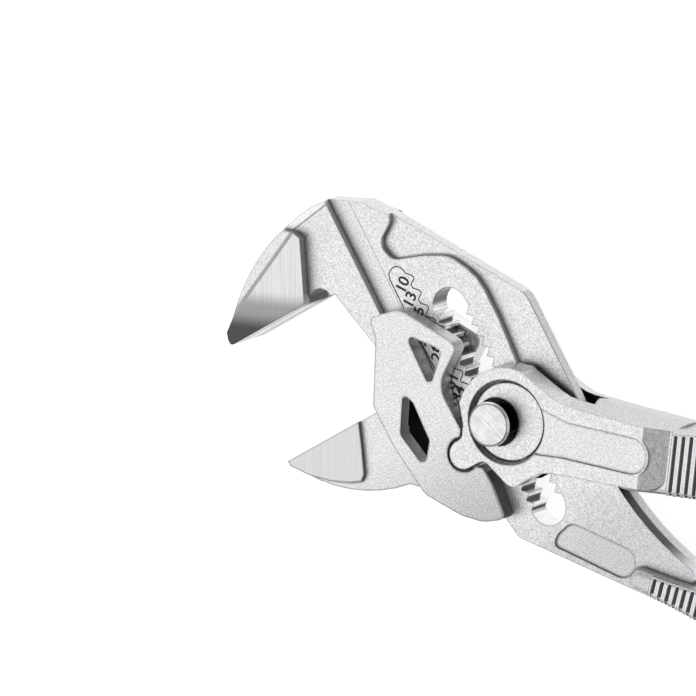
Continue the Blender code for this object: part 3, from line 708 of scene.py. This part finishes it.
print("wire %.2f mm thick, coil %.1f mm high" % (2 * WIRE_RADIUS, SPRING_HEIGHT))

# %% [markdown]
# Between two rings each pair of neighbouring points makes one face, and the first and last rings are filled.

# %% Wind the return spring
def mesh_object(name, mesh, material):
    """An object with smooth shading from a finished bmesh."""
    data = bpy.data.meshes.new(name)
    mesh.to_mesh(data)
    mesh.free()
    data.shade_smooth()
    data.materials.append(material)
    return add(name, data)


mesh = bmesh.new()
rings = [wire_ring(mesh, step / STEPS) for step in range(STEPS * TURNS + 1)]
mesh.faces.new(rings[0])
for before, now in zip(rings, rings[1:]):
    for k in range(RING):
        mesh.faces.new((before[k], before[k - 1], now[k - 1], now[k]))
mesh.faces.new(rings[-1][::-1])
bmesh.ops.recalc_face_normals(mesh, faces=mesh.faces)
coil = mesh_object("spring_coil", mesh, dark_steel.material)
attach(coil, "carriage")
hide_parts("return_spring")
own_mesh(coil)

# %% [markdown]
# ## Grooved grips
# The flat sides of both handles are full of cross grooves, cut so close together that narrow ribs stand
# between them. A bump would look flat at the outline, and hundreds of cuts in a solid are slow to make. The
# solids have plain grips, so a thin ribbed skin lies over each one. It follows the handle's bowed centre
# line, which turns by the same angle on each millimetre, and the handle's half width, which grows smoothly
# from the root to the full width.

# %% Follow the handles
GRIP_EDGE = 1.2
FULL_HALF = 7.5
HANDLE_LENGTH = 160
LEVER_GRIP = {"start": (25.7, -20.4), "heading": -30.2, "turn": -12, "ribs": SLOPE_HEADING,
              "root": 5.95, "blend": 44, "lead": 8, "level": 5.5,
              "first": 0.4, "pitch": 1.6, "count": 84, "closed": 0.85}
LOWER_GRIP = {"start": (17.3, -44.9), "heading": -46.2, "turn": -8, "ribs": -45.8,
              "root": 2.14, "blend": 41, "lead": 11.9, "level": 5.2,
              "first": -9.17, "pitch": 1.56, "count": 92, "closed": 0.5}


def centre_line(grip, distance):
    """A point of a handle's bowed centre line and the direction of the handle there."""
    turned = grip["turn"] * distance / HANDLE_LENGTH
    chord = math.radians(grip["heading"] + turned / 2)
    along_chord = Vector((math.cos(chord), math.sin(chord))) * distance
    return Vector(grip["start"]) + along_chord, grip["heading"] + turned


def half_width(grip, distance):
    share = min(max((distance + grip["lead"]) / (grip["blend"] + grip["lead"]), 0), 1)
    return grip["root"] + (FULL_HALF - grip["root"]) * share * share * (3 - 2 * share)


def rounding(from_edge, radius):
    """How far a rounded edge has dropped at a distance from the outline."""
    inward = min(max(radius - from_edge, 0), radius)
    return radius - math.sqrt(radius ** 2 - inward ** 2)


for name, grip in (("lever", LEVER_GRIP), ("lower", LOWER_GRIP)):
    print(name, "grip:", grip["count"], "grooves over %.0f mm" % (grip["count"] * grip["pitch"]))

# %% [markdown]
# A groove ends in a half circle near one edge of the handle and runs out over the other. The skin is a grid
# of points in rows across the handle, and each point needs one number: how far it is from the edge of the
# nearest groove. Points crowd together where a groove's wall stands and round the grooves' ends, so that few
# points give a crisp rib.

# %% Space the points
GROOVE_WIDTH = 0.74
WALL_RUN = 0.12
EDGE_STEPS = (0.03, 0.05, 0.2, 0.5, GRIP_EDGE)
MIDDLE_SHARES = (-0.3, 0.1, 0.4)
END_STEPS = (-0.6, -0.4, -0.28, -0.18, -0.1, -0.02, 0.08, 0.2)
LAST_STEPS = (0.15, 0.05)


def from_groove(grip, distance, across, closed_end):
    """Distance to the edge of the nearest groove, below 0 inside it. Grooves end at closed_end."""
    from_middle = abs((distance / grip["pitch"]) % 1 - 0.5) * grip["pitch"]
    past_end = max(across - (closed_end - GROOVE_WIDTH / 2), 0)
    return math.hypot(from_middle, past_end) - GROOVE_WIDTH / 2


def row_distances(grip):
    """Where the rows lie along the handle."""
    half = GROOVE_WIDTH / grip["pitch"] / 2
    run = WALL_RUN / grip["pitch"] / 2
    offsets = (0.5, half + 2.2 * run, half + run, half, half - run, 0.1)
    shares = [0.5 - offset for offset in offsets] + [0.5 + offset for offset in offsets[:0:-1]]
    distances = [(k + share) * grip["pitch"] for k in range(grip["count"]) for share in shares]
    end = grip["count"] * grip["pitch"]
    return [-WALL_RUN, *distances, end, end + WALL_RUN]


def row_places(half, closed_end):
    """Where the points of a row lie across the handle."""
    places = [-half + step for step in EDGE_STEPS] + [share * half for share in MIDDLE_SHARES]
    places += [closed_end + step for step in END_STEPS]
    return places + [half - step for step in LAST_STEPS]


print(len(row_distances(LEVER_GRIP)), "rows of", len(row_places(FULL_HALF, 0)), "points on the lever's grip")

# %% [markdown]
# A point stands high on a rib and low in a groove, and both heights drop towards the handle's rounded edges.
# The skin's outermost points stay low, so that it closes down on the steel.

# %% Build the skins
RIB_HEIGHT = 0.35
SKIN_GAP = 0.02
RIB_EDGE = 0.8 * GRIP_EDGE


def skin_rows(grip, side):
    """Rows of points on one side of a handle, each with its distance from a groove."""
    ribs = math.radians(grip["ribs"])
    across_ribs = Vector((-math.sin(ribs), math.cos(ribs)))
    end = grip["count"] * grip["pitch"]
    for distance in row_distances(grip):
        centre, heading = centre_line(grip, grip["first"] + distance)
        reach = 1 / math.cos(math.radians(heading) - ribs)
        half = half_width(grip, grip["first"] + distance)
        closed_end = half - grip["closed"]
        places = row_places(half, closed_end)
        row = []
        for place in places:
            edge = from_groove(grip, distance, place, closed_end)
            share = min(max(edge / WALL_RUN + 0.5, 0), 1)
            inside = 0 <= distance <= end and places[0] < place < places[-1]
            low = grip["level"] + SKIN_GAP - rounding(half - abs(place), GRIP_EDGE)
            high = grip["level"] + RIB_HEIGHT - rounding(half - abs(place), RIB_EDGE)
            height = low + (high - low) * (share if inside else 0)
            point = centre + across_ribs * place * reach
            row.append(((point.x * MM, point.y * MM, (MIDDLE + side * height) * MM), edge))
        yield row


def lay_row(mesh, layer, row):
    """Adds the points of one row to the mesh and keeps their distances from a groove."""
    points = []
    for place, edge in row:
        points.append(mesh.verts.new(place))
        points[-1][layer] = edge
    return points


def grooved_skin(name, grip, body, finish):
    """The skins on both sides of one handle, as one mesh."""
    mesh = bmesh.new()
    layer = mesh.verts.layers.float.new("from_groove")
    for side in (1, -1):
        rows = [lay_row(mesh, layer, row) for row in skin_rows(grip, side)]
        for before, now in zip(rows, rows[1:]):
            for k in range(len(now) - 1):
                corners = (before[k], now[k], now[k + 1], before[k + 1])
                mesh.faces.new(corners if side > 0 else corners[::-1])
    made = mesh_object(name, mesh, finish.material)
    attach(made, body)
    print(name, "has", len(made.data.polygons), "faces")


print("ribs stand %.2f mm over the grooves" % (RIB_HEIGHT - SKIN_GAP))

# %% [markdown]
# The distance that each point keeps is an attribute of the mesh, and the Attribute node brings it into the
# finish. So the colour knows where the grooves are: satin on the ribs, a painted highlight along their
# edges, and painted shade in the grooves.

# %% Finish the skins
RIB_DIM = (0.5, 0.505, 0.51)
RIB_BRIGHT = (0.76, 0.765, 0.77)
GROOVE_SHADE = (0.085, 0.087, 0.09)


def skin_finish(name):
    made = Finish(name, NICKEL, 0.34)
    distance = made.node("ShaderNodeAttribute", {"attribute_name": "from_groove"}, output="Fac")
    groove = 1 - distance.between(-0.06, 0)
    edge_highlight = band(distance, (0, 0.04), (0.13, 0.22))
    grain = made.noise(0.36, 3)
    colour = made.colour_mix(grain.between(0.3, 0.7), RIB_DIM, RIB_BRIGHT)
    # a painted highlight along the ribs' edges, and painted shade in the grooves
    colour = made.colour_mix(edge_highlight, colour, PAINTED_HIGHLIGHT)
    made.feed("Base Color", made.colour_mix(groove, colour, GROOVE_SHADE))
    made.feed("Roughness", 0.3 + groove * 0.25 + grain * 0.08)
    made.feed("Normal", made.relief(grain, 0.03, None))
    return made


grooved_skin("lever_grip_skin", LEVER_GRIP, "lever", skin_finish("satin_nickel_lever_grip"))
grooved_skin("lower_grip_skin", LOWER_GRIP, "frame", skin_finish("satin_nickel_lower_grip"))

# %% [markdown]
# ## Size scale
# Beside the slot a scale is marked in black: the jaw opening in millimetres, inside a stepped outline. It
# could be an image on the shank, but letters are curve objects in Blender, and a thin line is a curve with a
# small bevel, so both stay sharp from close up. The first three numbers stand further apart than the rest.

# %% Space the scale
SCALE_X = -9.0
SCALE_LEFT = -11.0
SCALE_START = 25
SCALE_LEVEL = MIDDLE + SHANK_FACE
SCALE_PER_MM = 0.9
LEAN = 0.03
MOST_LEAN = 0.4
SCALE_PLACES = {10: 31.42, 13: 28.42, 16: 25.35}
for number in range(19, 49, 3):
    SCALE_PLACES[number] = SCALE_PLACES[16] - (number - 16) * SCALE_PER_MM


def lean(height):
    """The lower part of the scale leans a little towards the slot."""
    return min(max(SCALE_START - height, 0) * LEAN, MOST_LEAN)


print("scale numbers:", *SCALE_PLACES)

# %% [markdown]
# The outline goes up on the left of the numbers, round a cap over the first one, and down again in waves, one
# beside each number. One wave is written once and laid down at each number's height.

# %% Draw the outline
LINE_RADIUS = 0.11
LEFT_LEAN = 1.5
CAP = ((-10.98, 33.4), (-10.71, 34.34), (-10.01, 34.9), (-9.07, 35.09),
       (-8.42, 34.9), (-7.91, 34.47), (-7.58, 33.75))
WAVE = ((-7.4, 1.6), (-6.95, 1.2), (-6.4, 0.7), (-6.28, 0.2),
        (-6.5, -0.1), (-7.0, -0.35), (-7.4, -0.7), (-7.45, -1.1))
ink = Finish("scale_ink", (0.02, 0.02, 0.022), 0.6, 0)
ink.feed("Roughness", 0.5 + ink.noise(0.4, 2) * 0.2)


def scale_line(name, points):
    """A thin black line on the shank."""
    curve = bpy.data.curves.new(name, "CURVE")
    curve.dimensions = "3D"
    curve.bevel_depth = LINE_RADIUS * MM
    curve.bevel_resolution = 1
    curve.materials.append(ink.material)
    line = curve.splines.new("POLY")
    line.points.add(len(points) - 1)
    for target, (x, y) in zip(line.points, points):
        target.co = (x * MM, y * MM, 0, 1)
    made = add(name, curve)
    made.location.z = SCALE_LEVEL * MM
    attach(made, "frame")


outline = list(CAP)
for height in SCALE_PLACES.values():
    outline += [(x + lean(height), height + y) for x, y in WAVE]
bottom = outline[-1][1]
corner = (SCALE_LEFT + lean(bottom) * LEFT_LEAN, bottom)
scale_line("scale_outline", [corner, (SCALE_LEFT, SCALE_START), *outline, corner])
print("outline of", len(outline) + 3, "points, down to %.1f mm" % bottom)

# %% [markdown]
# The numbers stand slanted, each centred on its place. A text object is flat until it is extruded, and here
# it stands a hundredth of a millimetre over the steel, so that the steel doesn't hide it.

# %% Write the numbers
DIGIT_TURN = 38
DIGIT_SIZE = 3.1
DIGIT_WEIGHT = 0.07
DIGIT_SPACING = 0.95
INK_THICKNESS = 0.01


def scale_number(name, words, x, y):
    """A slanted number, centred on a place of the shank."""
    text = bpy.data.curves.new(name, "FONT")
    text.body = words
    text.size = DIGIT_SIZE * MM
    text.offset = DIGIT_WEIGHT * MM
    text.space_character = DIGIT_SPACING
    text.align_x = "CENTER"
    text.align_y = "CENTER"
    text.extrude = INK_THICKNESS * MM
    text.materials.append(ink.material)
    made = add(name, text)
    made.location = (x * MM, y * MM, SCALE_LEVEL * MM)
    made.rotation_euler.z = math.radians(DIGIT_TURN)
    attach(made, "frame")


for number, height in SCALE_PLACES.items():
    scale_number("scale_%d" % number, str(number), SCALE_X + lean(height), height)
print(len(SCALE_PLACES), "numbers, each %.1f mm tall" % DIGIT_SIZE)

# %% [markdown]
# ## The white table
# The tool lies on a white table. More lamps would make a table white, but they would burn out the metal too.
# A material can ask which ray looks at it. For the camera, and for rays that were mirrored or came through
# glass, the table glows, so that it shows nearly white. All other rays meet a plain grey, which throws little
# light back up, and the tool's shadow falls on it as before.

# %% Build the table
TABLE_HALF = 6
TABLE_DROP = 0.05
TABLE_GLOW = 0.84

mesh = bmesh.new()
bmesh.ops.create_grid(mesh, x_segments=1, y_segments=1, size=TABLE_HALF)
table_top = Finish("white_table", (0.4, 0.4, 0.4), 0.9, 0)
table_top.shader.inputs["Specular IOR Level"].default_value = 0.1
path = table_top.tree.nodes.new("ShaderNodeLightPath")
rays = [Wire(table_top, path.outputs["Is %s Ray" % kind]) for kind in ("Camera", "Glossy", "Transmission")]
glow = table_top.tree.nodes.new("ShaderNodeEmission")
table_top.put(glow.inputs["Strength"], (rays[0] + rays[1] + rays[2]) * TABLE_GLOW)
both = table_top.tree.nodes.new("ShaderNodeAddShader")
table_top.tree.links.new(table_top.shader.outputs[0], both.inputs[0])
table_top.tree.links.new(glow.outputs[0], both.inputs[1])
table_top.tree.links.new(both.outputs[0], table_top.tree.nodes["Material Output"].inputs["Surface"])
floor = mesh_object("floor", mesh, table_top.material)
floor.location.z = -TABLE_DROP * MM
floor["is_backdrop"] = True
print("table %.0f m wide" % (2 * TABLE_HALF))

# %% [markdown]
# ## Light
# Satin metal shows a blurred picture of what stands round it. From the camera, the tool's broad faces mirror
# a place high up on the left, so the key lamp stands there and makes them bright, and the walls mirror darker
# parts of the room. Small lamps would leave hard bright specks, so all four are large soft boxes. The
# Standard view shows colours about as they are written.

# %% Set the lights
WORLD_STRENGTH = 0.44


def softbox(name, spot, size, power):
    """A rectangular lamp that looks at the tool. Its place and size are in metres."""
    lamp = bpy.data.lights.new(name, "AREA")
    lamp.shape = "RECTANGLE"
    lamp.size, lamp.size_y = size
    lamp.energy = power
    made = add(name, lamp)
    made.location = spot
    made.rotation_euler = (-Vector(spot)).to_track_quat("-Z", "Y").to_euler()
    print("%s lamp: %.1f W from %.2f m" % (name, power, Vector(spot).length))


softbox("key", spot=(-0.74, 0.14, 0.97), size=(1.0, 1.3), power=3.2)
softbox("overhead", spot=(0.2, -0.1, 1.3), size=(0.9, 0.9), power=1.6)
softbox("fill", spot=(0.8, -0.6, 0.7), size=(1.0, 0.9), power=1.3)
softbox("rim", spot=(-0.15, 1.3, 0.42), size=(1.4, 0.8), power=3.2)
world = bpy.data.worlds.new("studio")
world.use_nodes = True
sky = world.node_tree.nodes["Background"]
sky.inputs["Color"].default_value = (1, 1, 1, 1)
sky.inputs["Strength"].default_value = WORLD_STRENGTH
bpy.context.scene.world = world
bpy.context.scene.view_settings.view_transform = "Standard"

# %% [markdown]
# ## Sizes
# The box round the bare solids and the box round the dressed tool are written side by side. They are the
# same, because every added piece lies inside the solids' outline.

# %% Write the sizes and finish
for name, (low, high) in (("solids", solid_box), ("dressed tool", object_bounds())):
    print(name, "%.1f x %.1f x %.1f mm" % tuple((high - low) / MM))
